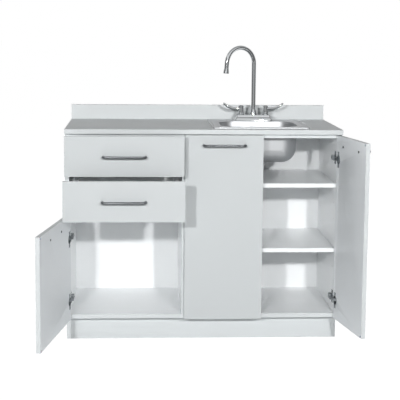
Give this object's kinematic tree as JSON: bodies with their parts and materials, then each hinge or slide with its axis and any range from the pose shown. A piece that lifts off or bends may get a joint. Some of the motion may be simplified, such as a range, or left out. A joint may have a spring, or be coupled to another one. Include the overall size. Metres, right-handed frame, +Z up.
{
  "type": "laboratory sink unit",
  "caption": "Laminate laboratory base unit with drawers, hinged doors, adjustable shelves, a counter with backsplash, and a drop-in steel sink with a gooseneck faucet.",
  "frame": {"origin": "on the floor, in the plane of the wall, midway across the unit", "axes": "+X to the right seen from the front, -Y out of the front, +Z up"},
  "size_m": [1.2149, 0.9096, 1.151],
  "materials": {
    "counter_laminate": "matte high-pressure laminate on board",
    "cabinet_laminate": "matte white laminate on board",
    "front_laminate": "matte white laminate, edge banded",
    "interior_melamine": "white melamine on board",
    "raw_board": "raw particleboard",
    "drawer_melamine": "white melamine on board",
    "pull_steel": "satin",
    "bumper_rubber": "clear grey",
    "hinge_steel": "nickel plated",
    "slide_steel": "zinc plated",
    "sink_steel": "satin stainless",
    "fitting_steel": "satin",
    "gasket_rubber": "matte black",
    "pin_steel": "nickel plated",
    "faucet_chrome": "polished",
    "cap_chrome": "polished"
  },
  "bodies": {
    "cabinet": {"left_side_panel": "cabinet_laminate", "right_side_panel": "cabinet_laminate", "centre_partition": "interior_melamine", "cabinet_floor": "interior_melamine", "top_rails": "interior_melamine", "back_panel": "interior_melamine", "hanging_rail": "raw_board", "base_rail": "raw_board", "toe_board": "cabinet_laminate", "countertop": "counter_laminate", "backsplash": "counter_laminate", "lower_shelf": "interior_melamine", "upper_shelf": "interior_melamine", "shelf_pins": "pin_steel", "left_door_hinge_arms": "hinge_steel", "centre_door_hinge_arms": "hinge_steel", "right_door_hinge_arms": "hinge_steel", "cabinet_rails": "slide_steel", "sink_basin": "sink_steel", "sink_clips": "fitting_steel", "grid_drain": "fitting_steel", "drain_gasket": "gasket_rubber", "drain_locknut": "fitting_steel", "tailpiece": "fitting_steel", "faucet_base": "faucet_chrome", "shank_nuts": "fitting_steel", "valve_bonnets": "faucet_chrome", "spout_nut": "faucet_chrome"},
    "left_door": {"left_door_panel": "front_laminate", "left_door_pull": "pull_steel", "left_door_hinge_cups": "hinge_steel", "left_door_bumpers": "bumper_rubber"},
    "centre_door": {"centre_door_panel": "front_laminate", "centre_door_pull": "pull_steel", "centre_door_hinge_cups": "hinge_steel", "centre_door_bumpers": "bumper_rubber"},
    "right_door": {"right_door_panel": "front_laminate", "right_door_pull": "pull_steel", "right_door_hinge_cups": "hinge_steel", "right_door_bumpers": "bumper_rubber"},
    "upper_drawer": {"upper_drawer_front": "front_laminate", "upper_drawer_sides": "drawer_melamine", "upper_drawer_ends": "drawer_melamine", "upper_drawer_bottom": "drawer_melamine", "upper_drawer_pull": "pull_steel", "upper_drawer_box_rails": "slide_steel"},
    "upper_drawer_slides": {"upper_drawer_middle_rails": "slide_steel"},
    "lower_drawer": {"lower_drawer_front": "front_laminate", "lower_drawer_sides": "drawer_melamine", "lower_drawer_ends": "drawer_melamine", "lower_drawer_bottom": "drawer_melamine", "lower_drawer_pull": "pull_steel", "lower_drawer_box_rails": "slide_steel"},
    "lower_drawer_slides": {"lower_drawer_middle_rails": "slide_steel"},
    "spout": {"spout_tube": "faucet_chrome", "aerator": "faucet_chrome"},
    "hot_handle": {"hot_handle": "faucet_chrome", "hot_handle_cap": "cap_chrome"},
    "cold_handle": {"cold_handle": "faucet_chrome", "cold_handle_cap": "cap_chrome"}
  },
  "joints": [
    {"name": "left_door_hinge", "type": "hinge", "parent": "cabinet", "child": "left_door", "pos_m": [-0.5236, -0.4697, 0.3], "axis": [0, 0, -1], "range_deg": [-100, 0]},
    {"name": "centre_door_hinge", "type": "hinge", "parent": "cabinet", "child": "centre_door", "pos_m": [-0.0664, -0.4697, 0.455], "axis": [0, 0, -1], "range_deg": [0, 60]},
    {"name": "right_door_hinge", "type": "hinge", "parent": "cabinet", "child": "right_door", "pos_m": [0.5236, -0.4697, 0.455], "axis": [0, 0, 1], "range_deg": [-100, 0]},
    {"name": "upper_drawer_slide", "type": "slide", "parent": "cabinet", "child": "upper_drawer", "axis": [0, -1, 0], "range_m": [-0.062, 0.318]},
    {"name": "upper_middle_slide", "type": "slide", "parent": "cabinet", "child": "upper_drawer_slides", "axis": [0, -1, 0], "range_m": [-0.031, 0.159]},
    {"name": "lower_drawer_slide", "type": "slide", "parent": "cabinet", "child": "lower_drawer", "axis": [0, -1, 0], "range_m": [-0.166, 0.214]},
    {"name": "lower_middle_slide", "type": "slide", "parent": "cabinet", "child": "lower_drawer_slides", "axis": [0, -1, 0], "range_m": [-0.083, 0.107]},
    {"name": "spout_swivel", "type": "hinge", "parent": "cabinet", "child": "spout", "pos_m": [0.2246, -0.096, 0.881], "axis": [0, 0, 1], "range_deg": [-48, 172]},
    {"name": "hot_valve", "type": "hinge", "parent": "cabinet", "child": "hot_handle", "pos_m": [0.1738, -0.096, 0.891], "axis": [0, 0, 1], "range_deg": [0, 90]},
    {"name": "cold_valve", "type": "hinge", "parent": "cabinet", "child": "cold_handle", "pos_m": [0.2754, -0.096, 0.891], "axis": [0, 0, -1], "range_deg": [0, 90]}
  ],
  "couplings": [
    {"joint": "upper_middle_slide", "follows": "upper_drawer_slide", "ratio": 0.5},
    {"joint": "lower_middle_slide", "follows": "lower_drawer_slide", "ratio": 0.5}
  ]
}
